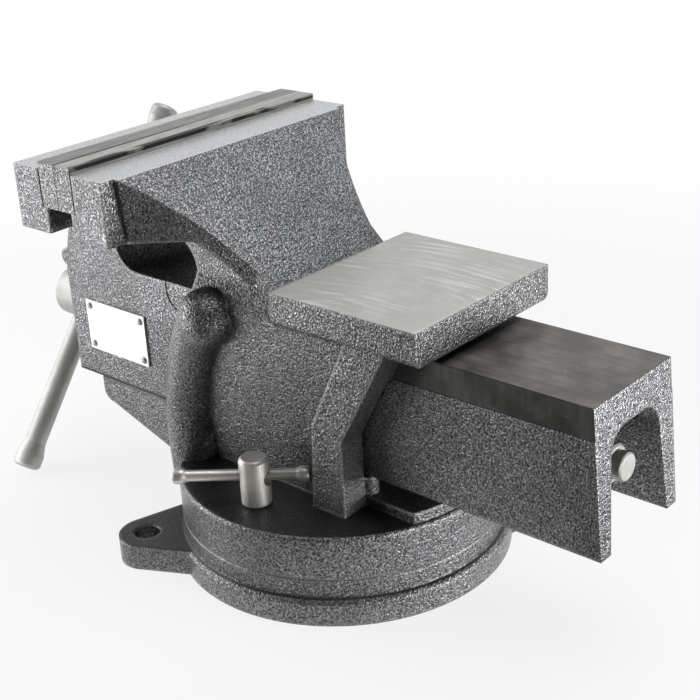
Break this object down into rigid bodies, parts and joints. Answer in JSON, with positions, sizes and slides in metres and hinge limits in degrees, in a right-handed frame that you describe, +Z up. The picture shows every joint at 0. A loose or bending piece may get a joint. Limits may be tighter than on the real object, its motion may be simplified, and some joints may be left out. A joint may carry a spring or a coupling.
{
  "type": "bench vise",
  "caption": "Bench vise on a swivelling round base, with a jaw that slides on a channel beam by a screw and cross handle, an anvil behind the fixed jaw and bar-turned base locks.",
  "frame": {"origin": "on the swivel axis, at the bench face of the base", "axes": "+Z up from the bench along the swivel axis, +Y along the screw from the handle to the rear end of the slide, +X to the side with the name plate"},
  "size_m": [0.167, 0.3408, 0.1829],
  "materials": {
    "cast_iron_painted": "hammertone paint",
    "cast_iron_bare": "as cast",
    "ground_steel": "ground",
    "turned_steel": "turned and plated",
    "plate_aluminium": "satin"
  },
  "bodies": {
    "base": {"base_plate": "cast_iron_painted"},
    "swivel_body": {"body_casting": "cast_iron_painted", "fixed_jaw_plate": "ground_steel", "fixed_jaw_screws": "turned_steel", "spindle_nut": "cast_iron_bare", "spindle_nut_bolts": "turned_steel", "tee_nut_right": "cast_iron_bare", "tee_nut_left": "cast_iron_bare"},
    "moving_jaw": {"moving_jaw_casting": "cast_iron_painted", "moving_jaw_plate": "ground_steel", "moving_jaw_screws": "turned_steel", "name_plate": "plate_aluminium", "name_plate_rivets": "turned_steel"},
    "spindle": {"spindle": "turned_steel", "thrust_washer": "turned_steel", "retaining_spring": "turned_steel", "spring_washer": "turned_steel", "split_pin": "turned_steel"},
    "handle": {"handle_bar": "turned_steel", "handle_cap_upper": "turned_steel", "handle_cap_lower": "turned_steel"},
    "lock_right": {"lock_screw_right": "turned_steel"},
    "lock_left": {"lock_screw_left": "turned_steel"},
    "bar_right": {"lock_bar_right": "turned_steel"},
    "bar_left": {"lock_bar_left": "turned_steel"}
  },
  "joints": [
    {"name": "swivel", "type": "hinge", "parent": "base", "child": "swivel_body", "pos_m": [0, 0, 0], "axis": [0, 0, 1], "continuous": true},
    {"name": "jaw_slide", "type": "slide", "parent": "swivel_body", "child": "moving_jaw", "axis": [0, -1, 0], "range_m": [0, 0.1251]},
    {"name": "spindle_turn", "type": "hinge", "parent": "moving_jaw", "child": "spindle", "pos_m": [0, -0.1713, 0.0809], "axis": [0, -1, 0], "range_deg": [0, 9000]},
    {"name": "handle_slide", "type": "slide", "parent": "spindle", "child": "handle", "axis": [-0.5948, 0, 0.8039], "range_m": [-0.079, 0.068]},
    {"name": "lock_right_turn", "type": "hinge", "parent": "swivel_body", "child": "lock_right", "pos_m": [0.0552, 0, 0.041], "axis": [0, 0, 1], "range_deg": [-50, 0]},
    {"name": "lock_left_turn", "type": "hinge", "parent": "swivel_body", "child": "lock_left", "pos_m": [-0.0552, 0, 0.041], "axis": [0, 0, 1], "range_deg": [0, 50]},
    {"name": "bar_right_slide", "type": "slide", "parent": "lock_right", "child": "bar_right", "axis": [0.6157, -0.788, 0], "range_m": [0, 0.0095]},
    {"name": "bar_left_slide", "type": "slide", "parent": "lock_left", "child": "bar_left", "axis": [-0.6157, -0.788, 0], "range_m": [0, 0.0095]}
  ],
  "couplings": [
    {"joint": "jaw_slide", "follows": "spindle_turn", "m_per_rad": 0.00079577}
  ]
}
